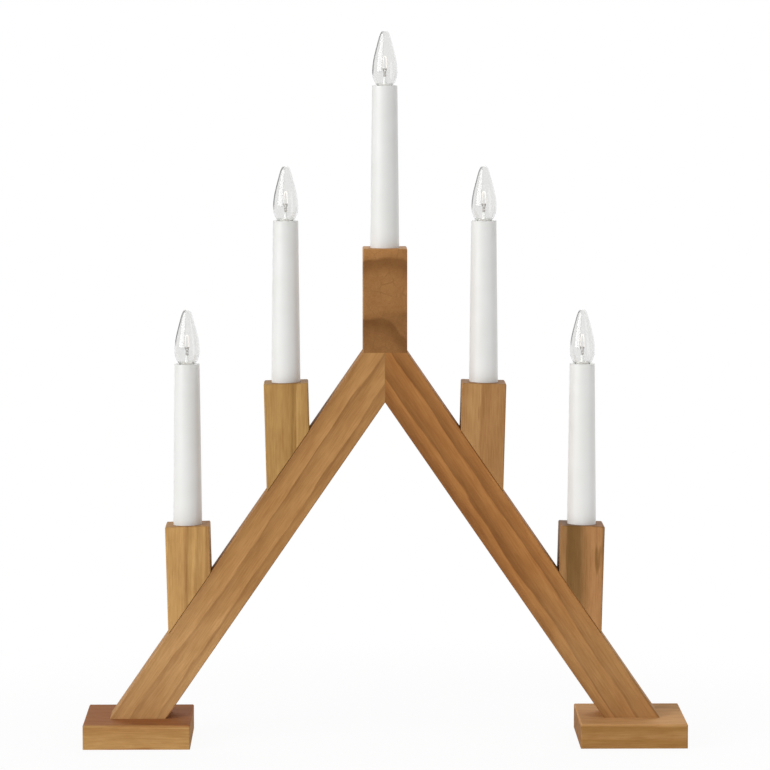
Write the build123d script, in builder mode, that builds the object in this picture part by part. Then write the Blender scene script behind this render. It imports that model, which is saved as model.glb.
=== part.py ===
"""Wooden candle arch: two mitred legs on two feet carry five blocks, each with an electric candle.

Lengths are millimetres and angles are degrees. X runs along the arch, Y points away from the viewer,
Z is up, and the origin is on the table under the middle of the arch.
"""

import os
from math import atan, cos, degrees, hypot, pi, radians, sin, tan

from build123d import *

# Feet and legs
foot_width = 70
foot_depth = 80
foot_height = 16
leg_width = 30.5
leg_depth = 30
leg_angle = 55.4
inner_apex_height = 225
edge_easing = 0.6

# Candle blocks: the side blocks lean out a little, as their slanted ends are cut. Block heights are on the
# candle's axis, and the candles stand at even steps along each leg, as a share of the way out to its foot
block_width = 29
top_block_height = 68
side_block_height = 52.8
candle_step_share = 0.399
block_lean = 1.5
seat_depth = 10
seat_clearance = 0.15

# Candle tubes: drafted white mouldings, widest at the foot, with a lip round the mouth
tube_exposed = 106
tube_top_diameter = 16.5
tube_foot_diameter = 19.2
tube_wall = 1.3
tube_lip = 1.5
tube_sides = 32
mouth_diameter = 10.6

# Lamp holders inside the tubes
holder_clearance = 0.1
holder_bore = 10
holder_floor = 5
contact_width = 3
contact_thickness = 0.6
side_contact_height = 11
contact_gap = 0.2

# Screw-in lamps. They and the other small round pieces have this many sides
round_sides = 18
cap_sink = 2
cap_diameter = 9.5
cap_height = 12
insulator_height = 1.6
insulator_top_diameter = 8.4
insulator_foot_diameter = 4.8
tip_height = 1.2
tip_top_diameter = 3.4
tip_foot_diameter = 2.2
glass_height = 36
glass_diameter = 16.6
glass_foot_diameter = 9.2
glass_wall = 0.7
stem_foot_diameter = 5
stem_top_diameter = 2.4
stem_height = 7.5
lead_diameter = 0.45
lead_root_gap = 1.2
filament_foot_height = 11
filament_foot_gap = 2.6
filament_top_height = 19
filament_top_gap = 1.2

# Flame shape of the glass, from the mouth of the tube to its tip: shares of its height and of its radius
glass_belly_shares = [
    (0.0, 0.58), (0.03, 0.66), (0.08, 0.8), (0.15, 0.94), (0.24, 1.0), (0.38, 0.96),
    (0.52, 0.86), (0.7, 0.66), (0.89, 0.43), (0.965, 0.3), (0.99, 0.18), (1.0, 0.06),
]
# Points of that shape which the inside of the glass follows, at the depth of its wall
glass_inside_shares = [(0.08, 0.8), (0.24, 1.0), (0.38, 0.96), (0.7, 0.67), (0.93, 0.335)]

# Wiring ways and wires: a groove milled in the back of each leg, met by a bore under each candle. The floor
# of the groove and the middle of the bores are so far behind the middle of the leg
groove_width = 8
groove_floor_back = 1.5
wire_bore_diameter = 8
wire_bore_back = 4.4
wire_diameter = 1.8
wire_sides = 4
wire_spread = 1.5
wire_layer_gap = 2.4
wire_turn_radius = 2.2
wire_bend_radius = 8
inlet_height = 48
bush_clearance = 0.1
bush_wall = 1.3
bush_length = 5
bush_flange = 1.5
bush_flange_rim = 2
bush_bend_radius = 3

# Foot screws: wood screws sunk in each foot's underside and driven up into the end grain of the leg
screw_diameter = 4
screw_head_diameter = 7.6
screw_head_height = 2.4
screw_length = 36
screw_distance = 16
screw_recess = 1
screw_clearance = 0.1

cut_overrun = 5

# Places that follow from the sizes above
leg_rise = tan(radians(leg_angle))
outer_apex_height = inner_apex_height + leg_width / cos(radians(leg_angle))
middle_apex_height = (inner_apex_height + outer_apex_height) / 2
flat_height = outer_apex_height - leg_rise * block_width / 2
top_block_top = flat_height + top_block_height
foot_x = (middle_apex_height - foot_height) / leg_rise
upper_candle_x = candle_step_share * foot_x
lower_candle_x = 2 * upper_candle_x
upper_block_top = outer_apex_height - leg_rise * upper_candle_x + side_block_height
lower_block_top = outer_apex_height - leg_rise * lower_candle_x + side_block_height
back = leg_depth / 2
groove_depth = back - groove_floor_back
cap_top = -cap_sink
cap_foot = cap_top - cap_height
insulator_foot = cap_foot - insulator_height
tip_foot = insulator_foot - tip_height
holder_floor_top = tip_foot - contact_gap - contact_thickness
holder_foot = holder_floor_top - holder_floor
wire_front_y = wire_bore_back - wire_layer_gap / 2
wire_back_y = wire_bore_back + wire_layer_gap / 2
screw_bite = screw_recess + screw_length - foot_height
screw_x = (middle_apex_height - foot_height - screw_bite / 2) / leg_rise

# Name of each candle: side of the arch, distance from its middle, height of its block and how far that leans
candles = {
    "top": (0, 0, top_block_top, 0),
    "upper_left": (-1, upper_candle_x, upper_block_top, block_lean),
    "upper_right": (1, upper_candle_x, upper_block_top, block_lean),
    "lower_left": (-1, lower_candle_x, lower_block_top, block_lean),
    "lower_right": (1, lower_candle_x, lower_block_top, block_lean),
}
sides = {"left": -1, "right": 1}


def outer_face_height(x):
    return outer_apex_height - abs(x) * leg_rise


def groove_height(x):
    return middle_apex_height - abs(x) * leg_rise


def tube_radius(depth):
    """Outer radius of a candle tube at a depth below its mouth."""
    growth = (tube_foot_diameter - tube_top_diameter) / (tube_exposed + seat_depth)
    return (tube_top_diameter + growth * depth) / 2


def candle_mouth(name):
    """Middle of the mouth of a candle's tube."""
    side, reach, block_top = candles[name][:3]
    return Vector(side * reach, 0, block_top + tube_exposed)


def write(part, name):
    part.label = name
    export_step(part, f"parts/{name}.step")


def drafted(name, wide_height, wide_radius, narrow_height, narrow_radius, face_count):
    """Many-sided prism on a candle's axis that narrows from one height above the mouth to another."""
    base = Plane(candle_mouth(name) + Vector(0, 0, wide_height))
    length = abs(narrow_height - wide_height)
    draft = degrees(atan(cos(pi / face_count) * (wide_radius - narrow_radius) / length))
    with BuildPart() as prism:
        with BuildSketch(base):
            RegularPolygon(wide_radius, face_count)
        extrude(amount=length, taper=draft)
        if narrow_height < wide_height:
            mirror(about=base, mode=Mode.REPLACE)
    return prism.part


def make_foot(side):
    with BuildPart() as foot:
        with BuildSketch(Plane.XY):
            with Locations((side * foot_x, 0)):
                Rectangle(foot_width, foot_depth)
        extrude(amount=foot_height)
        chamfer(foot.edges().filter_by(Axis.Z) + foot.faces().sort_by(Axis.Z)[-1].edges(), length=edge_easing)
        for diameter, depth in (
            (screw_head_diameter, screw_recess + screw_head_height),
            (screw_diameter, foot_height),
        ):
            with BuildSketch(Plane.XY):
                with Locations((side * screw_x, 0)):
                    with GridLocations(0, screw_distance, 1, 2):
                        Circle(diameter / 2 + screw_clearance)
            extrude(amount=depth, mode=Mode.SUBTRACT)
    return foot.part


def make_leg(side):
    """Leg with a mitred apex, a flat for the top block, a level foot and the wiring ways in its back."""
    inner_foot_x = (inner_apex_height - foot_height) / leg_rise
    outer_foot_x = (outer_apex_height - foot_height) / leg_rise
    inlet_x = (middle_apex_height - inlet_height) / leg_rise
    with BuildPart() as leg:
        with BuildSketch(Plane.XZ):
            with BuildLine():
                Polyline(
                    (0, inner_apex_height),
                    (0, flat_height),
                    (side * block_width / 2, flat_height),
                    (side * outer_foot_x, foot_height),
                    (side * inner_foot_x, foot_height),
                    close=True,
                )
            make_face()
        extrude(amount=leg_depth / 2, both=True)
        run = (side * cos(radians(leg_angle)), 0, -sin(radians(leg_angle)))
        chamfer(leg.edges().filter_by(Axis((0, 0, 0), run)), length=edge_easing)
        with BuildSketch(Plane.XZ.offset(-back)):
            with Locations((side * inlet_x / 2, (inlet_height + middle_apex_height) / 2)):
                run_length = hypot(inlet_x, middle_apex_height - inlet_height)
                SlotCenterToCenter(run_length, groove_width, rotation=-side * leg_angle)
        extrude(amount=groove_depth, mode=Mode.SUBTRACT)
        for x in (0, side * upper_candle_x, side * lower_candle_x):
            with BuildSketch(Plane.XY.offset(groove_height(x))):
                with Locations((x, wire_bore_back)):
                    Circle(wire_bore_diameter / 2)
            extrude(amount=leg_width / cos(radians(leg_angle)), mode=Mode.SUBTRACT)
        with BuildSketch(Plane.XY.offset(foot_height)):
            with Locations((side * screw_x, 0)):
                with GridLocations(0, screw_distance, 1, 2):
                    Circle(screw_diameter / 2 + screw_clearance)
        extrude(amount=screw_bite + screw_clearance, mode=Mode.SUBTRACT)
    return leg.part


def make_block(name):
    """Block with a seat bored for its candle; a side block's lower end is cut to lie on the leg."""
    side, reach, block_top, lean = candles[name]
    x = side * reach
    upright = (side * sin(radians(lean)), 0, cos(radians(lean)))
    face = Plane(origin=(x, 0, block_top), x_dir=(upright[2], 0, -upright[0]), z_dir=(0, -1, 0))
    if side:
        normal = (side * sin(radians(leg_angle)), 0, cos(radians(leg_angle)))
        bed = Plane(origin=(x, 0, outer_face_height(x)), z_dir=normal)
    else:
        bed = Plane.XY.offset(flat_height)
    lowest = min(outer_face_height(reach + block_width), flat_height) - cut_overrun
    with BuildPart() as block:
        with BuildSketch(face):
            Rectangle(block_width, block_top - lowest, align=(Align.CENTER, Align.MAX))
        extrude(amount=leg_depth / 2, both=True)
        chamfer(
            block.edges().filter_by(Axis((0, 0, 0), upright)) + block.faces().sort_by(Axis.Z)[-1].edges(),
            length=edge_easing,
        )
        split(bisect_by=bed, keep=Keep.TOP)
        with BuildSketch(Plane.XY.offset(block_top - seat_depth)):
            with Locations((x, 0)):
                Circle(tube_foot_diameter / 2 + seat_clearance)
        extrude(amount=seat_depth + cut_overrun, mode=Mode.SUBTRACT)
        with BuildSketch(Plane.XY.offset(lowest)):
            with Locations((x, wire_bore_back)):
                Circle(wire_bore_diameter / 2)
        extrude(amount=block_top - seat_depth - lowest, mode=Mode.SUBTRACT)
    return block.part


def make_tube(name):
    """Candle tube: its draft runs on inside the seat, and its lip narrows the mouth."""
    foot = -tube_exposed - seat_depth
    mouth = candle_mouth(name)
    inner_foot = tube_radius(-foot) - tube_wall
    inner_top = tube_radius(tube_lip) - tube_wall
    with BuildPart() as tube:
        add(drafted(name, foot, tube_radius(-foot), 0, tube_radius(0), tube_sides))
        add(drafted(name, foot, inner_foot, -tube_lip, inner_top, tube_sides), mode=Mode.SUBTRACT)
        with BuildSketch(Plane(mouth)):
            Circle(mouth_diameter / 2)
        extrude(amount=-tube_lip - cut_overrun, mode=Mode.SUBTRACT)
    return tube.part


def make_holder(name):
    """Plug that fills the top of the tube, with a bore for the lamp cap and a slot for the side contact."""
    bore = holder_bore / 2
    rim = tube_radius(tube_lip) - tube_wall - holder_clearance
    with BuildPart() as holder:
        add(drafted(name, holder_foot, rim, -tube_lip, rim, round_sides))
        add(drafted(name, holder_floor_top, bore, cut_overrun, bore, round_sides), mode=Mode.SUBTRACT)
        with BuildSketch(Plane(candle_mouth(name)).offset(-tube_lip - side_contact_height)):
            with Locations((0, -bore - contact_thickness)):
                Rectangle(contact_width, bore + contact_thickness, align=(Align.CENTER, Align.MIN))
        extrude(amount=side_contact_height, mode=Mode.SUBTRACT)
    return holder.part


def make_contacts(name):
    """Side strip in its slot and centre tongue on the holder's floor."""
    mouth = Plane(candle_mouth(name))
    bore = holder_bore / 2
    with BuildPart() as contacts:
        with BuildSketch(mouth.offset(-tube_lip - side_contact_height)):
            with Locations((0, -bore - contact_thickness)):
                Rectangle(contact_width, contact_thickness, align=(Align.CENTER, Align.MIN))
        extrude(amount=side_contact_height)
        with BuildSketch(mouth.offset(holder_floor_top)):
            Rectangle(contact_width, bore)
        extrude(amount=contact_thickness)
    return contacts.part


def make_glass(name):
    """Thin flame-shaped envelope standing on the lamp cap, in facets."""
    radius = glass_diameter / 2
    foot = glass_foot_diameter / 2
    outer = [(cap_top, foot)]
    outer += [(glass_height * height, radius * width) for height, width in glass_belly_shares]
    inner = [(cap_top, foot - glass_wall)]
    inner += [(glass_height * height, radius * width - glass_wall) for height, width in glass_inside_shares]
    with BuildPart() as glass:
        for rings, mode in ((outer, Mode.ADD), (inner, Mode.SUBTRACT)):
            for lower, upper in zip(rings, rings[1:]):
                wide, narrow = (lower, upper) if lower[1] > upper[1] else (upper, lower)
                add(drafted(name, *wide, *narrow, round_sides), mode=mode)
    return glass.part


def make_filament(name):
    """One bent wire: two leads that spread from the stem and the filament loop between their ends."""
    plane = Plane(candle_mouth(name), x_dir=(1, 0, 0), z_dir=(0, -1, 0))
    root = cap_top + stem_height + lead_diameter / 2
    bends = [
        (-lead_root_gap / 2, root),
        (-filament_foot_gap / 2, filament_foot_height),
        (-filament_top_gap / 2, filament_top_height),
        (filament_top_gap / 2, filament_top_height),
        (filament_foot_gap / 2, filament_foot_height),
        (lead_root_gap / 2, root),
    ]
    with BuildPart() as filament:
        with BuildLine(plane) as route:
            Polyline(*bends)
        with BuildSketch(Plane(origin=route.line @ 0, z_dir=route.line % 0)):
            RegularPolygon(lead_diameter / 2, wire_sides)
        sweep(path=route.line, transition=Transition.RIGHT)
    return filament.part


def make_wire(points, radii):
    """Insulated wire on straight runs joined by arcs."""
    with BuildPart() as wire:
        with BuildLine() as route:
            FilletPolyline(*points, radius=radii)
        with BuildSketch(Plane(origin=route.line @ 0, z_dir=route.line % 0)):
            RegularPolygon(wire_diameter / 2, wire_sides)
        sweep(path=route.line)
    return wire.part


def terminal_height(name):
    return candles[name][2] + tube_exposed + holder_foot


def leg_wires(side):
    """The two wires on one leg that join its lower, upper and top candles in series."""
    name = "left" if side < 0 else "right"
    pairs = [
        ("lower_" + name, lower_candle_x - wire_spread, "upper_" + name, upper_candle_x + wire_spread),
        ("upper_" + name, upper_candle_x - wire_spread, "top", wire_spread),
    ]
    for start, start_x, end, end_x in pairs:
        points = [
            (side * start_x, wire_front_y, terminal_height(start)),
            (side * start_x, wire_front_y, groove_height(start_x)),
            (side * end_x, wire_front_y, groove_height(end_x)),
            (side * end_x, wire_front_y, terminal_height(end)),
        ]
        yield make_wire(points, [wire_turn_radius, wire_bend_radius])


def supply_wires():
    """The wires from the inlet to the first candle and back from the last, which end inside the bush."""
    inlet_x = (middle_apex_height - inlet_height) / leg_rise
    step = wire_spread * cos(radians(leg_angle))
    end_y = back - bush_length / 2
    first_x = lower_candle_x + wire_spread
    supply_x = inlet_x + step
    return_x = inlet_x - step
    yield make_wire(
        [
            (-first_x, wire_front_y, terminal_height("lower_left")),
            (-first_x, wire_front_y, groove_height(first_x)),
            (-supply_x, wire_front_y, groove_height(supply_x)),
            (-supply_x, end_y, groove_height(supply_x)),
        ],
        [wire_bend_radius, bush_bend_radius],
    )
    yield make_wire(
        [
            (first_x, wire_back_y, terminal_height("lower_right")),
            (first_x, wire_back_y, groove_height(first_x)),
            (0, wire_back_y, middle_apex_height),
            (-return_x, wire_back_y, groove_height(return_x)),
            (-return_x, end_y, groove_height(return_x)),
        ],
        [wire_turn_radius, wire_bend_radius, bush_bend_radius],
    )


def make_bush():
    """Flanged bush in the lower end of the left groove, where a cord comes in."""
    inlet_x = (middle_apex_height - inlet_height) / leg_rise
    outer = groove_width / 2 - bush_clearance
    with BuildPart() as bush:
        for plane, radius, length in (
            (Plane.XZ.offset(-back), outer, bush_length),
            (Plane.XZ.offset(-back - bush_flange), outer + bush_flange_rim, bush_flange),
        ):
            with BuildSketch(plane):
                with Locations((-inlet_x, inlet_height)):
                    RegularPolygon(radius, round_sides)
                    RegularPolygon(outer - bush_wall, round_sides, mode=Mode.SUBTRACT)
            extrude(amount=length)
    return bush.part


def make_screws():
    """Four wood screws, each a plain head and shank."""
    with BuildPart() as screws:
        for height, diameter, length in (
            (screw_recess, screw_head_diameter, screw_head_height),
            (screw_recess, screw_diameter, screw_length),
        ):
            with BuildSketch(Plane.XY.offset(height)):
                with GridLocations(2 * screw_x, screw_distance, 2, 2):
                    RegularPolygon(diameter / 2, round_sides)
            extrude(amount=length)
    return screws.part


os.makedirs("parts", exist_ok=True)

for name, side in sides.items():
    write(make_foot(side), f"foot_{name}")
    write(make_leg(side), f"leg_{name}")

for name in candles:
    write(make_block(name), f"block_{name}")
    write(make_tube(name), f"candle_tube_{name}")
    write(make_holder(name), f"lamp_holder_{name}")
    write(make_glass(name), f"bulb_glass_{name}")
    write(make_filament(name), f"bulb_filament_{name}")
    for piece, heights, diameters in (
        ("cap", (cap_foot, cap_top), (cap_diameter, cap_diameter)),
        ("insulator", (cap_foot, insulator_foot), (insulator_top_diameter, insulator_foot_diameter)),
        ("tip", (insulator_foot, tip_foot), (tip_top_diameter, tip_foot_diameter)),
        ("stem", (cap_top, cap_top + stem_height), (stem_foot_diameter, stem_top_diameter)),
    ):
        turned = drafted(name, heights[0], diameters[0] / 2, heights[1], diameters[1] / 2, round_sides)
        write(turned, f"bulb_{piece}_{name}")

write(Compound([make_contacts(name) for name in candles]), "lamp_contacts")
wires = [wire for side in sides.values() for wire in leg_wires(side)]
write(Compound(wires + list(supply_wires())), "series_wires")
write(make_screws(), "foot_screws")
write(make_bush(), "cord_bush")
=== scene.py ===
"""Looks of the wooden candle arch: oiled pine, moulded candle tubes, clear screw-in lamps and their wiring.

The frame is in metres: X along the arch, Y away from the viewer, Z up, with the origin on the table.
"""

from math import cos, pi, radians, sin, tan

import bmesh
import bpy
from mathutils import Matrix, Vector


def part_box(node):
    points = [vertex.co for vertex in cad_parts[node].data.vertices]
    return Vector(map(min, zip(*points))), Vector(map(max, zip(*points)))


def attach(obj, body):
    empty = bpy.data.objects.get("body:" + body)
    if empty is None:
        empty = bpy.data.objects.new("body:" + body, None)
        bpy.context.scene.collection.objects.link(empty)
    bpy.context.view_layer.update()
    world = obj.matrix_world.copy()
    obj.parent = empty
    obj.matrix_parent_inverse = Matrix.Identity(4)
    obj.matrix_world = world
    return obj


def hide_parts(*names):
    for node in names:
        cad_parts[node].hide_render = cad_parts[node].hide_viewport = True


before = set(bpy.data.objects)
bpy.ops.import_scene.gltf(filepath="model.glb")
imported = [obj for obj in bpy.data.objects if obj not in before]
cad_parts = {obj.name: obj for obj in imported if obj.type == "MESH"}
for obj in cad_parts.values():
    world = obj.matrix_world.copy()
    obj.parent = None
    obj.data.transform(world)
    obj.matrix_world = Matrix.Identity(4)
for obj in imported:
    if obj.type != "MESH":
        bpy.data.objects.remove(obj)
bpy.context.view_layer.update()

mm = 0.001
candle_names = ["top", "upper_left", "upper_right", "lower_left", "lower_right"]

# Camera of the photograph, fitted to its edges
camera_place = (-0.0336, -2.6703, 0.4922)
camera_aim = (0.01258, 0.99532, -0.09581)
camera_lens = 190.8

# Places that the frame gives
leg_angle = radians(55.4)
foot_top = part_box("foot_left")[1].z
foot_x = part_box("foot_right")[0].x / 2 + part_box("foot_right")[1].x / 2
leg_out_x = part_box("leg_right")[1].x
leg_back_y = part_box("leg_left")[1].y
mouths = {}
for candle in candle_names:
    tube_low, tube_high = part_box(f"candle_tube_{candle}")
    mouths[candle] = Vector(((tube_low.x + tube_high.x) / 2, (tube_low.y + tube_high.y) / 2, tube_high.z))

# Sizes in millimetres, from a candle's mouth
tube_depth = 116
tube_mouth_radius = 8.25
tube_foot_radius = 9.6
tube_wall = 1.3
tube_lip = 1.5
lip_round = 0.45
mouth_radius = 5.3
cap_top = -2
cap_foot = -14
cap_radius = 4.75
thread_pitch = 1.814
thread_depth = 0.42
insulator_foot = -15.6
tip_foot = -16.8
thread_clear = 1
thread_run_out = 0.8
thread_rows = 84
glass_top = 36
stem_top = 5.5
lead_radius = 0.2
coil_radius = 0.24
coil_wire = 0.09
coil_points_per_turn = 9
loop_steps = 60
profile_steps = 4
sharp_edge = radians(38)


def linear(hex_colour, alpha=1.0):
    """Linear colour of an sRGB hex value."""
    shares = [int(hex_colour[i:i + 2], 16) / 255 for i in (1, 3, 5)]
    return tuple(s / 12.92 if s <= 0.04045 else ((s + 0.055) / 1.055) ** 2.4 for s in shares) + (alpha,)


def add_node(tree, kind, inputs=None, stops=None, **settings):
    """Adds a node, sets it, and gives each input a value or a link. Stops are a ramp's places, each with its
    colour or a grey level."""
    made = tree.nodes.new("ShaderNode" + kind)
    for key, value in settings.items():
        setattr(made, key, value)
    for key, value in (inputs or {}).items():
        if isinstance(value, bpy.types.NodeSocket):
            tree.links.new(value, made.inputs[key])
        else:
            made.inputs[key].default_value = value
    for index, (place, colour) in enumerate(stops or []):
        elements = made.color_ramp.elements
        element = elements[index] if index < 2 else elements.new(place)
        element.position = place
        element.color = linear(colour) if isinstance(colour, str) else (colour, colour, colour, 1)
    return made


def finish_named(name):
    """Empty node tree of a new material, and the material."""
    material = bpy.data.materials.new(name)
    material.use_nodes = True
    material.node_tree.nodes.clear()
    return material.node_tree, material


# Figure of the pine. Its real fibres are finer than this, and are drawn as coarse as they need to show
fibre_mm = 0.7
fibre_stretch = 2.5
fibre_share = 0.6
fibre_relief_mm = 0.1
patch_mm = 7
patch_shorter = 2.5
patch_share = 0.55
drift_mm = 9
late_full = 0.88
late_end = 0.96
late_line = 0.32
glue_line_mm = 0.22
glue_colour = "#946A3C"
end_grain_from = 0.7
end_grain_full = 0.95
end_grain_tint = "#E0D6CA"
# Painted light: each leg is drawn paler near its foot, for the light that the floor bounces up
painted_bounce_full_mm = 50
painted_bounce_end_mm = 120
painted_bounce_share = 0.6
check_mm = 9
check_width_mm = 0.5


def oiled_pine(name, start, grain, half_mm, pale, late, heart, ring_mm, pith_mm, bands, seed, seams=(),
               stretch=8, wander_mm=14, sway=3.2, ripple=4.0, late_from=0.1, checks=0.0, painted_floor_bounce=None,
               shine=0.15):
    """Planed and oiled pine: honey early wood, browner late wood in rings that sway round a pith line, darker
    heart bands along the grain, fine fibres, a paler start of a long piece that is painted light from the
    floor below, and a thin dark line where a piece is glued. End grain drinks more oil and goes darker, with
    fine checks where it dried. The oil leaves a soft satin.

    stretch draws the figure out along the grain; wander_mm, sway and ripple say how the rings stray;
    late_from is where a ring starts to darken, from 0 to 1; checks is the strength of the cracks, and shine
    of the oil.
    """
    tree, material = finish_named(name)
    frame_turn = Vector((1, 0, 0)).rotation_difference(Vector(grain))
    pith = start + frame_turn @ Vector((0, pith_mm[0], pith_mm[1])) * mm
    place = add_node(tree, "TexCoord").outputs["Object"]
    along = add_node(
        tree, "Mapping",
        {"Vector": place, "Location": pith, "Rotation": frame_turn.to_euler(), "Scale": (stretch, 1, 1)},
        vector_type="TEXTURE",
    ).outputs[0]
    wander = add_node(
        tree, "TexNoise",
        {"Vector": along, "W": seed, "Scale": 1 / (wander_mm * mm), "Detail": 2.0, "Roughness": 0.5},
        noise_dimensions="4D",
    )
    rings = add_node(
        tree, "TexWave",
        {"Vector": along, "Scale": pi / 10 / (ring_mm * mm), "Distortion": sway, "Detail": ripple,
         "Detail Scale": 10 / pi * ring_mm / wander_mm, "Detail Roughness": 0.55, "Phase Offset": seed},
        wave_type="RINGS", rings_direction="X", wave_profile="SAW",
    )
    wood = add_node(
        tree, "ValToRGB", {"Fac": rings.outputs["Fac"]},
        stops=[(0.0, pale), (1.0, pale), (late_from, pale), (late_full, late), (late_end, late)],
    )
    ring_colour = wood.outputs[0]
    split = add_node(tree, "SeparateXYZ", {"Vector": along})
    # Painted light: paler towards the start of the piece, a leg's foot, for the floor's bounce
    if painted_floor_bounce:
        paler = add_node(
            tree, "MapRange",
            {"Value": split.outputs["X"], "From Min": painted_bounce_full_mm * mm / stretch,
             "From Max": painted_bounce_end_mm * mm / stretch, "To Min": painted_bounce_share, "To Max": 0.0},
        )
        ring_colour = add_node(
            tree, "Mix", {0: paler.outputs[0], 6: ring_colour, 7: linear(painted_floor_bounce)}, data_type="RGBA"
        ).outputs[2]
    swayed = add_node(
        tree, "Math", {0: wander.outputs["Fac"], 1: drift_mm * mm, 2: split.outputs["Z"]},
        operation="MULTIPLY_ADD",
    )
    middle_mm = drift_mm / 2 - pith_mm[1]
    share = add_node(
        tree, "MapRange",
        {"Value": swayed.outputs[0], "From Min": (middle_mm - half_mm) * mm,
         "From Max": (middle_mm + half_mm) * mm},
    )
    heartwood = add_node(tree, "ValToRGB", {"Fac": share.outputs[0]}, stops=bands)
    edge_line = add_node(
        tree, "ValToRGB", {"Fac": rings.outputs["Fac"]},
        stops=[(0.82, 0.0), (1.0, 0.0), (0.93, late_line), (0.97, late_line)],
    )
    come_and_go = add_node(
        tree, "MapRange", {"Value": wander.outputs["Fac"], "From Min": 0.35, "From Max": 0.62, "To Min": 0.1}
    )
    faint_line = add_node(
        tree, "Math", {0: edge_line.outputs[0], 1: come_and_go.outputs[0]}, operation="MULTIPLY"
    )
    darkest = add_node(tree, "Math", {0: heartwood.outputs[0], 1: faint_line.outputs[0]}, operation="MAXIMUM")
    banded = add_node(
        tree, "Mix", {0: darkest.outputs[0], 6: ring_colour, 7: linear(heart)}, data_type="RGBA"
    )
    patches = add_node(tree, "VectorMath", {0: along, 1: (patch_shorter, 1, 1)}, operation="MULTIPLY")
    mottle = add_node(
        tree, "TexNoise",
        {"Vector": patches.outputs[0], "W": seed, "Scale": 1 / (patch_mm * mm), "Detail": 3.0,
         "Roughness": 0.6},
        noise_dimensions="4D",
    )
    mottle_shade = add_node(
        tree, "ValToRGB", {"Fac": mottle.outputs["Fac"]}, stops=[(0.3, "#DCD0C0"), (0.65, "#FFFFFF")]
    )
    mottled = add_node(
        tree, "Mix", {0: patch_share, 6: banded.outputs[2], 7: mottle_shade.outputs[0]},
        data_type="RGBA", blend_type="MULTIPLY",
    )
    drawn_out = add_node(tree, "VectorMath", {0: along, 1: (1 / fibre_stretch, 1, 1)}, operation="MULTIPLY")
    fibres = add_node(
        tree, "TexNoise",
        {"Vector": drawn_out.outputs[0], "W": seed, "Scale": 1 / (fibre_mm * mm), "Detail": 3.0,
         "Roughness": 0.55},
        noise_dimensions="4D",
    )
    fibre_shade = add_node(
        tree, "ValToRGB", {"Fac": fibres.outputs["Fac"]}, stops=[(0.28, "#DCCDBD"), (0.6, "#FFFFFF")]
    )
    colour = add_node(
        tree, "Mix", {0: fibre_share, 6: mottled.outputs[2], 7: fibre_shade.outputs[0]},
        data_type="RGBA", blend_type="MULTIPLY",
    )
    outward = add_node(tree, "NewGeometry").outputs["Normal"]
    facing = add_node(
        tree, "VectorMath", {0: outward, 1: Vector(grain).normalized()}, operation="DOT_PRODUCT"
    )
    facing_size = add_node(tree, "Math", {0: facing.outputs["Value"]}, operation="ABSOLUTE")
    end_share = add_node(
        tree, "MapRange",
        {"Value": facing_size.outputs[0], "From Min": end_grain_from, "From Max": end_grain_full},
    )
    colour = add_node(
        tree, "Mix", {0: end_share.outputs[0], 6: colour.outputs[2], 7: linear(end_grain_tint)},
        data_type="RGBA", blend_type="MULTIPLY",
    )
    if checks:
        cracks = add_node(
            tree, "TexVoronoi", {"Vector": along, "Scale": 1 / (check_mm * mm), "Randomness": 1.0},
            feature="DISTANCE_TO_EDGE",
        )
        thin = add_node(
            tree, "MapRange",
            {"Value": cracks.outputs["Distance"], "From Min": check_width_mm / check_mm, "From Max": 0.0},
        )
        broken = add_node(
            tree, "MapRange",
            {"Value": mottle.outputs["Fac"], "From Min": 0.46, "From Max": 0.6, "To Max": checks},
        )
        crack_share = add_node(tree, "Math", {0: thin.outputs[0], 1: broken.outputs[0]}, operation="MULTIPLY")
        colour = add_node(
            tree, "Mix", {0: crack_share.outputs[0], 6: colour.outputs[2], 7: linear(heart)}, data_type="RGBA"
        )
    for point, normal in seams:
        distance = add_node(tree, "VectorMath", {0: place, 1: normal}, operation="DOT_PRODUCT")
        on_line = add_node(
            tree, "Math",
            {0: distance.outputs["Value"], 1: point.dot(normal), 2: glue_line_mm * mm}, operation="COMPARE",
        )
        colour = add_node(
            tree, "Mix", {0: on_line.outputs[0], 6: colour.outputs[2], 7: linear(glue_colour)},
            data_type="RGBA",
        )
    relief = add_node(
        tree, "Bump", {"Height": fibres.outputs["Fac"], "Strength": 0.3, "Distance": fibre_relief_mm * mm}
    )
    gloss = add_node(tree, "MapRange", {"Value": fibres.outputs["Fac"], "To Min": 0.72, "To Max": 0.52})
    satin = add_node(
        tree, "BsdfPrincipled",
        {"Base Color": colour.outputs[2], "Roughness": gloss.outputs[0], "Normal": relief.outputs[0],
         "Specular IOR Level": shine},
    )
    add_node(tree, "OutputMaterial", {"Surface": satin.outputs[0]})
    return material


cloud_mm = 18
peel_relief_mm = 0.05
moulded_ior = 1.49


def moulded_finish(name, colour, low_roughness, high_roughness, grit_mm):
    """Moulded, pressed or poured material, such as plastic, opaque glass or cement: an even colour with a
    faint orange peel that softens its highlights. The peel is drawn coarser than it is, so that it shows."""
    tree, material = finish_named(name)
    place = add_node(tree, "TexCoord").outputs["Object"]
    peel = add_node(tree, "TexNoise", {"Vector": place, "Scale": 1 / (grit_mm * mm), "Detail": 2.0})
    cloud = add_node(tree, "TexNoise", {"Vector": place, "Scale": 1 / (cloud_mm * mm), "Detail": 1.0})
    shade = add_node(
        tree, "ValToRGB", {"Fac": cloud.outputs["Fac"]}, stops=[(0.3, colour[0]), (0.7, colour[1])]
    )
    gloss = add_node(
        tree, "MapRange",
        {"Value": peel.outputs["Fac"], "To Min": low_roughness, "To Max": high_roughness},
    )
    relief = add_node(
        tree, "Bump", {"Height": peel.outputs["Fac"], "Strength": 0.08, "Distance": peel_relief_mm * mm}
    )
    moulded = add_node(
        tree, "BsdfPrincipled",
        {"Base Color": shade.outputs[0], "Roughness": gloss.outputs[0], "Normal": relief.outputs[0],
         "IOR": moulded_ior},
    )
    add_node(tree, "OutputMaterial", {"Surface": moulded.outputs[0]})
    return material


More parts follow.
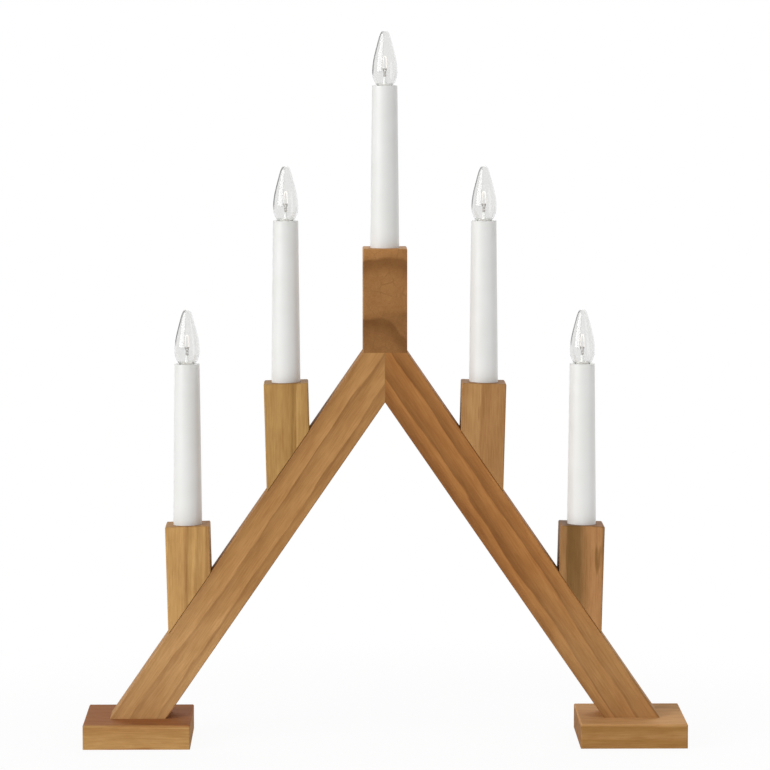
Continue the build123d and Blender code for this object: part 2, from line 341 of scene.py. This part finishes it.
def drawn_metal(name, bright, dull, low_roughness, high_roughness, mark_mm):
    """Rolled or drawn metal with faint handling marks that break up its shine."""
    tree, material = finish_named(name)
    place = add_node(tree, "TexCoord").outputs["Object"]
    marks = add_node(
        tree, "TexNoise", {"Vector": place, "Scale": 1 / (mark_mm * mm), "Detail": 3.0, "Roughness": 0.6}
    )
    shade = add_node(tree, "ValToRGB", {"Fac": marks.outputs["Fac"]}, stops=[(0.35, dull), (0.65, bright)])
    gloss = add_node(
        tree, "MapRange",
        {"Value": marks.outputs["Fac"], "To Min": low_roughness, "To Max": high_roughness},
    )
    metal = add_node(
        tree, "BsdfPrincipled",
        {"Base Color": shade.outputs[0], "Roughness": gloss.outputs[0], "Metallic": 1.0},
    )
    add_node(tree, "OutputMaterial", {"Surface": metal.outputs[0]})
    return material


ripple_mm = 12
ripple_relief_mm = 0.3
glass_ior = 1.5


def blown_glass(name, tint):
    """Blown soda-lime glass: clear, faintly grey, with slow ripples that bend what shows through it. It lets
    the lamps shine on what it holds."""
    tree, material = finish_named(name)
    place = add_node(tree, "TexCoord").outputs["Object"]
    ripple = add_node(tree, "TexNoise", {"Vector": place, "Scale": 1 / (ripple_mm * mm), "Detail": 1.0})
    relief = add_node(
        tree, "Bump", {"Height": ripple.outputs["Fac"], "Strength": 0.03, "Distance": ripple_relief_mm * mm}
    )
    glass = add_node(
        tree, "BsdfPrincipled",
        {"Base Color": linear(tint), "Roughness": 0.05, "IOR": glass_ior, "Transmission Weight": 1.0,
         "Normal": relief.outputs[0]},
    )
    open_air = add_node(tree, "BsdfTransparent", {"Color": linear(tint)})
    path = add_node(tree, "LightPath")
    clear = add_node(
        tree, "MixShader", {0: path.outputs["Is Shadow Ray"], 1: glass.outputs[0], 2: open_air.outputs[0]}
    )
    add_node(tree, "OutputMaterial", {"Surface": clear.outputs[0]})
    return material


glow_patch_mm = 3


def tungsten_painted_glow():
    """Coiled tungsten wire with a painted glow, so that it shows pale against the glass."""
    tree, material = finish_named("coiled_tungsten_painted_glow")
    place = add_node(tree, "TexCoord").outputs["Object"]
    glow_patches = add_node(tree, "TexNoise", {"Vector": place, "Scale": 1 / (glow_patch_mm * mm), "Detail": 1.0})
    shade = add_node(
        tree, "ValToRGB", {"Fac": glow_patches.outputs["Fac"]}, stops=[(0.3, "#F0E8E0"), (0.7, "#FAF6F2")]
    )
    painted_glow = add_node(
        tree, "BsdfPrincipled",
        {"Base Color": shade.outputs[0], "Roughness": 0.4, "Metallic": 1.0,
         "Emission Color": shade.outputs[0], "Emission Strength": 0.6},
    )
    add_node(tree, "OutputMaterial", {"Surface": painted_glow.outputs[0]})
    return material


# Tubes, even and waxy white; holders, warmer and duller; wire, a soft sheen; cement, chalky; bush, matt
tube_plastic = moulded_finish("moulded_white_polypropylene", ("#E0E0DD", "#E4E4E2"), 0.32, 0.42, 0.7)
holder_plastic = moulded_finish("moulded_cream_phenolic", ("#E4DFD2", "#EAE6DA"), 0.45, 0.6, 0.6)
wire_plastic = moulded_finish("extruded_white_vinyl", ("#E3E2DC", "#ECEBE6"), 0.4, 0.55, 1.2)
cement = moulded_finish("basing_cement", ("#DDDBD6", "#E6E4E0"), 0.8, 0.9, 0.4)
bush_plastic = moulded_finish("moulded_white_rubber", ("#D9D8D2", "#E4E3DE"), 0.6, 0.75, 0.5)
# Glass of the cap's foot, a black gloss; beads, grey and glossy
black_glass = moulded_finish("pressed_black_glass", ("#101012", "#17171A"), 0.12, 0.25, 0.9)
bead_glass = moulded_finish("fused_grey_glass", ("#AEAAA6", "#BCB8B4"), 0.15, 0.3, 0.6)
# Brass, yellow with duller smears; solder and nickel, grey and soft; zinc, pale with a straw tinge
cap_brass = drawn_metal("rolled_brass", "#D8B468", "#B48C45", 0.22, 0.4, 1.1)
contact_brass = drawn_metal("stamped_brass", "#CFAE66", "#A98443", 0.25, 0.45, 1.4)
solder = drawn_metal("solder", "#C4C5C7", "#9A9B9E", 0.3, 0.5, 0.5)
lead_nickel = drawn_metal("drawn_nickel_wire", "#A7A39C", "#7E7A74", 0.3, 0.45, 0.8)
screw_zinc = drawn_metal("zinc_plated_steel", "#D9D3BC", "#B5AE95", 0.28, 0.45, 0.9)
# Lamp's envelope, clear; its stem, a pale gloss
lamp_glass = blown_glass("blown_clear_glass", "#F1F1F0")
stem_glass = moulded_finish("pressed_pale_glass", ("#EEF0EF", "#F4F6F5"), 0.08, 0.18, 0.8)
# Filament: a painted glow, not a lamp
filament_wire = tungsten_painted_glow()

# Lines of the grain, and planes of the glue by a point and a normal
left_line = Vector((-foot_x, 0, foot_top))
right_line = Vector((foot_x, 0, foot_top))
left_run = (cos(leg_angle), 0, sin(leg_angle))
right_run = (-cos(leg_angle + radians(1)), 0, sin(leg_angle + radians(1)))
mitre = (Vector((0, 0, 0)), Vector((1, 0, 0)))
left_bed = (Vector((-leg_out_x, 0, foot_top)), Vector((-sin(leg_angle), 0, cos(leg_angle))))
right_bed = (Vector((leg_out_x, 0, foot_top)), Vector((sin(leg_angle), 0, cos(leg_angle))))
upright = (0, 0, 1)
level = (1, 0, 0)


def box_middle(node):
    """Middle of a node's box."""
    low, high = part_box(node)
    return (low + high) / 2


# Wood of each piece: a point and direction of its grain, half its width, its colours, ring width, the place
# of its pith, the strength of its heart bands by place, from its right or lower side (0) to the other (1),
# the number that sets its figure apart, and its glue lines
timber = {
    # The paler colour given last to each leg is painted light at its foot, for the floor's bounce
    "leg_left": oiled_pine(
        "oiled_pine_leg_left", left_line, left_run, 15.25, "#BD8E58", "#A87B49", "#825730", 12.1, (8, -70),
        [(0.0, 0.1), (1.0, 0.15), (0.08, 0), (0.85, 0)], 3.61, [mitre], painted_floor_bounce="#CFA46F",
    ),
    "leg_right": oiled_pine(
        "oiled_pine_leg_right", right_line, right_run, 15.25, "#B17A43", "#956536", "#73441F", 11.05,
        (8, -70), [(0.0, 0.05), (1.0, 0.3), (0.1, 0), (0.9, 0.02)], 3.38, [mitre], painted_floor_bounce="#B58D5B",
    ),
    "block_top": oiled_pine(
        "oiled_pine_block_top", box_middle("block_top"), (0.15, -0.97, 0.2), 34, "#CB9A63", "#A37645",
        "#7A542C", 37, (-13, -33),
        [(0.0, 0.52), (1.0, 0), (0.3, 0.62), (0.38, 0.29), (0.86, 0.29), (0.93, 0.02)], 2.6,
        stretch=3, wander_mm=22, sway=1.2, ripple=1.0, late_from=0.7, checks=0.6,
    ),
    "block_upper_left": oiled_pine(
        "oiled_pine_block_upper_left", box_middle("block_upper_left"), upright, 14.5, "#C29A5F", "#AE864D",
        "#86602F", 4.6, (30, 12),
        [(0.0, 0), (1.0, 0.05), (0.3, 0), (0.4, 0.55), (0.47, 0.1), (0.56, 0.03)], 9.4, [left_bed],
    ),
    "block_upper_right": oiled_pine(
        "oiled_pine_block_upper_right", box_middle("block_upper_right"), upright, 14.5, "#BC915E", "#A87C4C",
        "#8C6236", 4.6, (34, -6),
        [(0.0, 0.05), (1.0, 0.1), (0.3, 0), (0.6, 0.15), (0.75, 0)], 12.8, [right_bed],
    ),
    "block_lower_left": oiled_pine(
        "oiled_pine_block_lower_left", box_middle("block_lower_left"), upright, 14.5, "#D0A669", "#C3975E",
        "#8E6233", 8.0, (40, 26),
        [(0.0, 0.05), (1.0, 0), (0.1, 0.5), (0.16, 0.05), (0.27, 0.4), (0.34, 0), (0.5, 0.5), (0.57, 0)],
        2.3, [left_bed],
    ),
    "block_lower_right": oiled_pine(
        "oiled_pine_block_lower_right", box_middle("block_lower_right"), upright, 14.5, "#B78757", "#9C7141",
        "#5F4820", 4.8, (28, -10),
        [(0.0, 0.25), (1.0, 0.3), (0.1, 0.02), (0.38, 0.08), (0.56, 0.6), (0.8, 0.65)], 6.6, [right_bed],
    ),
    # The heart band at the top of each foot's range colours its top face alone: painted shade on the left
    # foot, darker and redder, and painted light on the right foot, paler
    "foot_left": oiled_pine(
        "oiled_pine_foot_left", box_middle("foot_left"), level, 8, "#C59B63", "#BA8F59", "#9A5A34", 8.0,
        (5, -30), [(0.0, 0), (1.0, 0.75), (0.86, 0), (0.97, 0.7)], 4.4, shine=0.04,
    ),
    "foot_right": oiled_pine(
        "oiled_pine_foot_right", box_middle("foot_right"), level, 8, "#B08654", "#A17743", "#DBAA74", 7.0,
        (-6, -34), [(0.0, 0), (1.0, 0.8), (0.86, 0), (0.97, 0.8)], 8.1, shine=0.04,
    ),
}
for node, wood in timber.items():
    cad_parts[node].data.materials.clear()
    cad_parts[node].data.materials.append(wood)
for candle in candle_names:
    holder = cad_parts[f"lamp_holder_{candle}"]
    holder.data.materials.clear()
    holder.data.materials.append(holder_plastic)
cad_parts["lamp_contacts"].data.materials.clear()
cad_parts["lamp_contacts"].data.materials.append(contact_brass)


# Meshes and curves
def as_piece(mesh, name, material, body, node=None):
    """Object of a finished mesh or curve, which rides on a body and stands for a node."""
    piece = bpy.data.objects.new(name, mesh)
    bpy.context.scene.collection.objects.link(piece)
    mesh.materials.append(material)
    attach(piece, body)
    if node:
        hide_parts(node)
    return piece


def flowing(points, steps):
    """Points of a smooth line through given ones, with so many steps to each stretch."""
    line = []
    for index in range(len(points) - 1):
        before = Vector(points[max(index - 1, 0)])
        start = Vector(points[index])
        end = Vector(points[index + 1])
        after = Vector(points[min(index + 2, len(points) - 1)])
        for step in range(steps):
            t = step / steps
            line.append(tuple(
                start + (end - before) * t / 2 + (before * 2 - start * 5 + end * 4 - after) * t * t / 2
                + (start * 3 - before - end * 3 + after) * t * t * t / 2
            ))
    return line + [tuple(points[-1])]


def arc(centre, radius, start, end, steps):
    """Points on an arc of an outline, between two angles in degrees."""
    angles = [radians(start + (end - start) * i / steps) for i in range(steps + 1)]
    return [(centre[0] + radius * cos(a), centre[1] + radius * sin(a)) for a in angles]


def turned(name, outline, base, steps=64, closed=False, turn=None, shape=None):
    """Mesh of an outline of (radius, height) in millimetres, turned round an axis through base. A radius of
    zero is a pole, turn is a rotation of the axis, and shape changes a radius by height and angle."""
    built = bmesh.new()
    rings = []
    for radius, height in outline:
        count = 1 if radius == 0 else steps
        ring = []
        for i in range(count):
            angle = 2 * pi * i / steps
            reach = shape(radius, height, angle) if shape else radius
            ring.append(built.verts.new(Vector((reach * cos(angle), reach * sin(angle), height)) * mm))
        rings.append(ring)
    pairs = list(zip(rings, rings[1:])) + ([(rings[-1], rings[0])] if closed else [])
    for lower, upper in pairs:
        for i in range(steps if len(lower) + len(upper) > 2 else 0):
            corners = [lower[i % len(lower)], lower[(i + 1) % len(lower)],
                       upper[(i + 1) % len(upper)], upper[i % len(upper)]]
            built.faces.new(list(dict.fromkeys(corners)))
    bmesh.ops.recalc_face_normals(built, faces=built.faces)
    placed = Matrix.Translation(base) @ (turn or Matrix.Identity(4))
    bmesh.ops.transform(built, matrix=placed, verts=built.verts)
    mesh = bpy.data.meshes.new(name)
    built.to_mesh(mesh)
    built.free()
    mesh.shade_smooth()
    mesh.set_sharp_from_angle(angle=sharp_edge)
    return mesh


def wire_curve(name, points, radius_mm, steps=6, roundness=3):
    """Round wire on one smooth open spline with these control points, in metres."""
    curve = bpy.data.curves.new(name, "CURVE")
    curve.dimensions = "3D"
    curve.bevel_depth = radius_mm * mm
    curve.bevel_resolution = roundness
    curve.use_fill_caps = True
    spline = curve.splines.new("NURBS")
    spline.points.add(len(points) - 1)
    for control, point in zip(spline.points, points):
        control.co = (*point, 1)
    spline.order_u = 3
    spline.use_endpoint_u = True
    spline.resolution_u = steps
    return curve


def candle_tube(candle):
    """Drafted tube with a rounded lip that narrows its mouth."""
    inner_top = tube_mouth_radius - tube_wall
    inner_foot = tube_foot_radius - tube_wall
    outline = [(inner_foot, -tube_depth), (tube_foot_radius, -tube_depth)]
    outline += arc((tube_mouth_radius - lip_round, -lip_round), lip_round, 0, 90, 5)
    outline += arc((mouth_radius + lip_round, -lip_round), lip_round, 90, 180, 4)
    outline += [(mouth_radius, -tube_lip), (inner_top, -tube_lip)]
    mesh = turned(f"candle_tube_{candle}_moulded", outline, mouths[candle], 72, closed=True)
    as_piece(mesh, mesh.name, tube_plastic, "stand", f"candle_tube_{candle}")


def bulb_glass(candle):
    """Flame-shaped envelope with a wall, blown to a blunt tip and sealed to the cap."""
    outer = flowing([
        (4.6, cap_top), (4.8, 0), (6.1, 0.95), (7.05, 2.9), (7.9, 5.4), (8.28, 8.6), (7.95, 13.7),
        (7.1, 18.7), (5.45, 25.3), (3.6, 32), (2.5, 34.7), (1.5, 35.65), (0.6, 35.95),
    ], profile_steps)
    inner = flowing([
        (4.05, cap_top), (4.3, 0.3), (5.6, 1.4), (7.3, 5.4), (7.7, 8.6), (7.4, 13.7), (6.55, 18.7),
        (4.9, 25.3), (3.05, 32), (2.0, 34.2), (1.2, 34.95), (0.5, 35.2),
    ], profile_steps)
    outline = outer + [(0, glass_top), (0, 35.25)] + inner[::-1]
    mesh = turned(f"bulb_glass_{candle}_blown", outline, mouths[candle], 64, closed=True)
    as_piece(mesh, mesh.name, lamp_glass, f"lamp_{candle}", f"bulb_glass_{candle}")


def bulb_stem(candle):
    """Cement in the cap, the glass stem that flares from it, and the grey beads that hold the leads apart, by
    height, radius and reach."""
    plug = [(0, cap_top), (3.9, cap_top), (4.15, 0.2), (3.7, 0.75), (2.2, 1.0), (0, 1.0)]
    mesh = turned(f"bulb_cement_{candle}", plug, mouths[candle], 32)
    as_piece(mesh, mesh.name, cement, f"lamp_{candle}")
    flare = [(2.3, -1.2), (1.9, -0.4), (1.3, 1.2), (1.0, 3.2), (1.1, 4.9), (0.7, stem_top)]
    outline = [(0, -1.2)] + flowing(flare, profile_steps) + [(0, stem_top)]
    mesh = turned(f"bulb_stem_{candle}_pressed", outline, mouths[candle], 32)
    as_piece(mesh, mesh.name, stem_glass, f"lamp_{candle}", f"bulb_stem_{candle}")
    beads = ((6.3, 0.8, 0.25), (8.4, 0.7, 0.25), (10.4, 0.6, 0.55))
    for index, (height, radius, reach) in enumerate(beads):
        bead = [(0, height - radius)] + arc((reach, height), radius, -80, 80, 8) + [(0, height + radius)]
        mesh = turned(f"bulb_bead_{candle}_{index + 1}", bead, mouths[candle], 28)
        as_piece(mesh, mesh.name, bead_glass, f"lamp_{candle}")


def bulb_filament(candle):
    """Two leads with bent ends, and a coil that loops up between them."""
    mouth = mouths[candle]
    for side, word in ((-1, "left"), (1, "right")):
        run = [(0.5, 4), (0.6, 5.5), (0.62, 7.4), (0.7, 9), (1.2, 10.2), (1.3, 11.2)]
        points = [mouth + Vector((side * x, 0, z)) * mm for x, z in run]
        lead = wire_curve(f"bulb_lead_{candle}_{word}", points, lead_radius)
        as_piece(lead, lead.name, lead_nickel, f"lamp_{candle}")
    loop = flowing([(-1.3, 0, 11), (-1.05, 0, 15), (-0.7, 0, 18.2), (0, 0, 19), (0.7, 0, 18.2),
                    (1.05, 0, 15), (1.3, 0, 11)], loop_steps)
    coil = []
    for index, point in enumerate(loop):
        angle = 2 * pi * index / coil_points_per_turn
        coil.append(mouth + (Vector(point) + Vector((cos(angle), sin(angle), 0)) * coil_radius) * mm)
    curve = wire_curve(f"bulb_filament_{candle}_coiled", coil, coil_wire, steps=2, roundness=1)
    as_piece(curve, curve.name, filament_wire, f"lamp_{candle}", f"bulb_filament_{candle}")


def bulb_cap(candle):
    """Brass cap with a rolled round thread, and the black glass and solder at its foot."""
    def rolled(radius, height, angle):
        below_top = max(0, (cap_top - thread_clear - height) / thread_run_out)
        above_foot = max(0, (height - cap_foot) / thread_run_out)
        inside = min(1, below_top, above_foot)
        wave = (1 - cos(2 * pi * height / thread_pitch - angle)) / 2
        return radius - thread_depth * wave * inside

    side = [(cap_radius, cap_foot + (cap_top - cap_foot) * i / thread_rows) for i in range(thread_rows + 1)]
    outline = [(0, cap_foot), (cap_radius - 0.5, cap_foot)] + side[1:] + [(0, cap_top)]
    mesh = turned(f"bulb_cap_{candle}_rolled", outline, mouths[candle], 56, shape=rolled)
    as_piece(mesh, mesh.name, cap_brass, f"lamp_{candle}", f"bulb_cap_{candle}")
    cone_side = [(4.1, -14.15), (3.2, -14.8), (2.5, -15.4), (2.1, insulator_foot)]
    cone = [(0, cap_foot), (4.2, cap_foot)] + flowing(cone_side, 3) + [(0, insulator_foot)]
    mesh = turned(f"bulb_insulator_{candle}_pressed", cone, mouths[candle], 48)
    as_piece(mesh, mesh.name, black_glass, f"lamp_{candle}", f"bulb_insulator_{candle}")
    blob_side = [(1.68, insulator_foot), (1.62, -16.1), (1.2, -16.6), (0.6, -16.78)]
    blob = [(0, insulator_foot)] + flowing(blob_side, 3) + [(0, tip_foot)]
    mesh = turned(f"bulb_tip_{candle}_soldered", blob, mouths[candle], 32)
    as_piece(mesh, mesh.name, solder, f"lamp_contact_{candle}", f"bulb_tip_{candle}")


for candle in candle_names:
    candle_tube(candle)
    bulb_glass(candle)
    bulb_stem(candle)
    bulb_filament(candle)
    bulb_cap(candle)


# Wiring in the grooves: the same runs as the solids, in two layers
wire_radius = 0.9
wire_spread = 1.5 * mm
front_y = 3.2 * mm
back_y = 5.6 * mm
bend = 5 * mm
bush_place = box_middle("cord_bush")


def groove_z(x):
    """Height of a groove's middle line at a place along the arch."""
    return foot_top + (foot_x - abs(x)) * tan(leg_angle)


def terminal_z(candle):
    """Height at which the wires reach a lamp holder."""
    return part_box(f"lamp_holder_{candle}")[0].z


def groove_wire(name, corners):
    """Wire through given corners, with a point close by on each side of a corner to keep its bends short."""
    points = [corners[0]]
    for before, corner, after in zip(corners, corners[1:], corners[2:]):
        points += [corner.lerp(near, bend / (near - corner).length) for near in (before, after)]
    curve = wire_curve(name, points + [corners[-1]], wire_radius)
    return as_piece(curve, name, wire_plastic, "stand")


for side, word in ((-1, "left"), (1, "right")):
    for start, end in ((f"lower_{word}", f"upper_{word}"), (f"upper_{word}", "top")):
        start_x = side * (abs(mouths[start].x) - wire_spread)
        end_x = side * (abs(mouths[end].x) + wire_spread)
        groove_wire(f"wire_{start}_to_{end}", [
            Vector((start_x, front_y, terminal_z(start))),
            Vector((start_x, front_y, groove_z(start_x))),
            Vector((end_x, front_y, groove_z(end_x))),
            Vector((end_x, front_y, terminal_z(end))),
        ])
wire_end_y = leg_back_y - 2.5 * mm
step = wire_spread * cos(leg_angle)
first_x = mouths["lower_left"].x - wire_spread
supply_x = bush_place.x - step
groove_wire("wire_supply", [
    Vector((first_x, front_y, terminal_z("lower_left"))),
    Vector((first_x, front_y, groove_z(first_x))),
    Vector((supply_x, front_y, groove_z(supply_x))),
    Vector((supply_x, wire_end_y, groove_z(supply_x))),
])
return_x = bush_place.x + step
groove_wire("wire_return", [
    Vector((-first_x, back_y, terminal_z("lower_right"))),
    Vector((-first_x, back_y, groove_z(first_x))),
    Vector((0, back_y, groove_z(0))),
    Vector((return_x, back_y, groove_z(return_x))),
    Vector((return_x, wire_end_y, groove_z(return_x))),
])
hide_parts("series_wires")

# Bush at the inlet: a sleeve with a rounded flange outside the groove
to_back = Matrix.Rotation(radians(-90), 4, "X")
bush_outline = [(2.6, -5), (3.9, -5), (3.9, 0), (5.5, 0)]
bush_outline += arc((5.3, 0.7), 0.6, -50, 90, 6) + arc((3.3, 0.8), 0.7, 90, 180, 5)
bush = turned("cord_bush_moulded", bush_outline, Vector((bush_place.x, leg_back_y, bush_place.z)), 48,
              closed=True, turn=to_back)
as_piece(bush, bush.name, bush_plastic, "stand", "cord_bush")


# Foot screws: flat heads with a cross recess, driven up from below
screw_low, screw_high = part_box("foot_screws")
screw_head = 3.8
screw_shank = 2.0
recess_reach = 2.1
recess_half = 0.45
recess_depth = 1.3
screw_pitch = 1.8
screw_cut = 0.6
plain_shank = 14
shank_from = 2.4
shank_row = 0.15
point_length = 3
point_rows = 12
head_rows = 16


def foot_screw(name, place):
    """Screw whose shank carries a coarse thread up to its point."""
    def threaded(radius, height, angle):
        cut = min(1, max(0, (height - plain_shank) / 2)) * screw_cut
        wave = (1 - cos(2 * pi * height / screw_pitch - angle)) / 2
        return max(0.15, radius - cut * wave)

    length = (screw_high.z - screw_low.z) / mm
    point_from = length - point_length
    row_count = int((point_from - shank_from) / shank_row)
    rows = [(screw_shank, shank_from + i * shank_row) for i in range(row_count)]
    point = [
        (screw_shank * (1 - i / point_rows), point_from + point_length * i / point_rows)
        for i in range(point_rows)
    ]
    head = [(screw_head * i / head_rows, 0) for i in range(1, head_rows)]
    outline = [(0, 0)] + head + arc((screw_head - 0.3, 0.3), 0.3, -90, 0, 4)
    outline += [(screw_head, 1), (screw_shank + 0.1, 2.3)] + rows + point + [(0, length)]
    mesh = turned(name, outline, Vector((0, 0, 0)), 48, shape=threaded)
    for vertex in mesh.vertices:
        x, y, z = vertex.co / mm
        across = min(abs(x), abs(y))
        if z < 0.01 and across < recess_half and max(abs(x), abs(y)) < recess_reach:
            vertex.co.z = recess_depth * mm * (1 - 0.6 * max(abs(x), abs(y)) / recess_reach)
    mesh.transform(Matrix.Translation(place))
    return as_piece(mesh, name, screw_zinc, "stand")


screw_x = screw_high.x - screw_head * mm
screw_y = screw_high.y - screw_head * mm
screws = [
    foot_screw(f"foot_screw_{x_word}_{y_word}", Vector((sx * screw_x, sy * screw_y, screw_low.z)))
    for sx, x_word in ((-1, "left"), (1, "right")) for sy, y_word in ((-1, "front"), (1, "back"))
]
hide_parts("foot_screws")


# Floor, light and camera, in metres
shadow_near = 0.2
shadow_far = 0.45
near_whiteness = 0.94
floor_half = 6.0
floor_z = -0.2 * mm
ambient_left = 0.02
ambient_right = 0.61


def pale_floor():
    """Plain white floor: it shows white to the camera, and keeps a soft shadow of the arch."""
    tree, material = finish_named("plain_white_floor")
    matte = add_node(tree, "BsdfDiffuse", {"Color": linear("#F4F4F4")})
    seen = add_node(tree, "LightPath")
    direct = add_node(
        tree, "Math", {0: seen.outputs["Is Camera Ray"], 1: seen.outputs["Is Glossy Ray"]},
        operation="MAXIMUM",
    )
    any_view = add_node(
        tree, "Math", {0: direct.outputs[0], 1: seen.outputs["Is Transmission Ray"]}, operation="MAXIMUM"
    )
    white = add_node(tree, "Emission", {"Color": (1, 1, 1, 1), "Strength": 1.0})
    place = add_node(tree, "TexCoord").outputs["Object"]
    away = add_node(tree, "VectorMath", {0: place}, operation="LENGTH")
    whiteness = add_node(
        tree, "MapRange",
        {"Value": away.outputs["Value"], "From Min": shadow_near, "From Max": shadow_far,
         "To Min": near_whiteness, "To Max": 1.0},
        interpolation_type="SMOOTHSTEP",
    )
    part = add_node(tree, "Math", {0: any_view.outputs[0], 1: whiteness.outputs[0]}, operation="MULTIPLY")
    shown = add_node(tree, "MixShader", {0: part.outputs[0], 1: matte.outputs[0], 2: white.outputs[0]})
    add_node(tree, "OutputMaterial", {"Surface": shown.outputs[0]})
    return material


floor_mesh = bpy.data.meshes.new("floor")
floor_mesh.from_pydata(
    [(-floor_half, -floor_half, floor_z), (floor_half, -floor_half, floor_z),
     (floor_half, floor_half, floor_z), (-floor_half, floor_half, floor_z)], [], [(0, 1, 2, 3)],
)
floor = bpy.data.objects.new("floor", floor_mesh)
bpy.context.scene.collection.objects.link(floor)
floor_mesh.materials.append(pale_floor())

world = bpy.data.worlds.new("studio")
bpy.context.scene.world = world
world.use_nodes = True
sky = world.node_tree
sky.nodes.clear()
path = add_node(sky, "LightPath")
toward = add_node(sky, "SeparateXYZ", {"Vector": add_node(sky, "TexCoord").outputs["Generated"]})
ambient = add_node(
    sky, "MapRange",
    {"Value": toward.outputs["X"], "From Min": -1.0, "From Max": 1.0, "To Min": ambient_left,
     "To Max": ambient_right},
)
leftward = add_node(sky, "MapRange", {"Value": toward.outputs["X"], "From Min": -1.0, "From Max": 0.0})
dark_flag = add_node(
    sky, "ValToRGB", {"Fac": leftward.outputs[0]}, stops=[(0.15, 1.0), (0.8, 1.0), (0.25, 0.25), (0.65, 0.25)]
)
bent_ray = add_node(
    sky, "Math", {0: path.outputs["Is Glossy Ray"], 1: path.outputs["Is Transmission Ray"]},
    operation="MAXIMUM",
)
mirrored = add_node(
    sky, "Mix", {0: bent_ray.outputs[0], 2: ambient.outputs[0], 3: dark_flag.outputs[0]}, data_type="FLOAT"
)
strength = add_node(
    sky, "Mix", {0: path.outputs["Is Camera Ray"], 2: mirrored.outputs[0], 3: 1.0}, data_type="FLOAT"
)
backdrop = add_node(sky, "Background", {"Color": (1, 1, 1, 1), "Strength": strength.outputs[0]})
add_node(sky, "OutputWorld", {"Surface": backdrop.outputs[0]})


def softbox(name, place, aim, size, power):
    """Rectangular lamp that lights the arch and doesn't show, to the eye or through glass."""
    lamp = bpy.data.lights.new(name, "AREA")
    lamp.shape = "RECTANGLE"
    lamp.size, lamp.size_y = size
    lamp.energy = power
    holder = bpy.data.objects.new(name, lamp)
    bpy.context.scene.collection.objects.link(holder)
    holder.visible_camera = False
    holder.visible_transmission = False
    holder.location = place
    holder.rotation_mode = "QUATERNION"
    holder.rotation_quaternion = (Vector(aim) - Vector(place)).to_track_quat("-Z", "Y")


softbox("key_left", (-6.1, -4.45, 2.9), (0, 0, 0.2), (6.5, 5.0), 525)
softbox("fill_back", (0, 5.0, 4.5), (0, 0, 0.2), (5.0, 3.0), 120)
softbox("bounce_low", (-0.05, -0.26, 0.01), (-0.02, 0, 0.03), (0.6, 0.04), 0.08)
softbox("bounce_right", (0.62, -0.35, 0.32), (0, 0, 0.3), (0.3, 0.6), 0.75)

bpy.context.scene.view_settings.view_transform = "Standard"
camera = bpy.data.objects.new("camera", bpy.data.cameras.new("camera"))
bpy.context.scene.collection.objects.link(camera)
camera.data.lens = camera_lens
camera.data.sensor_width = 36
camera.location = camera_place
camera.rotation_mode = "QUATERNION"
camera.rotation_quaternion = Vector(camera_aim).to_track_quat("-Z", "Y")
camera.data.clip_end = 50
bpy.context.scene.camera = camera
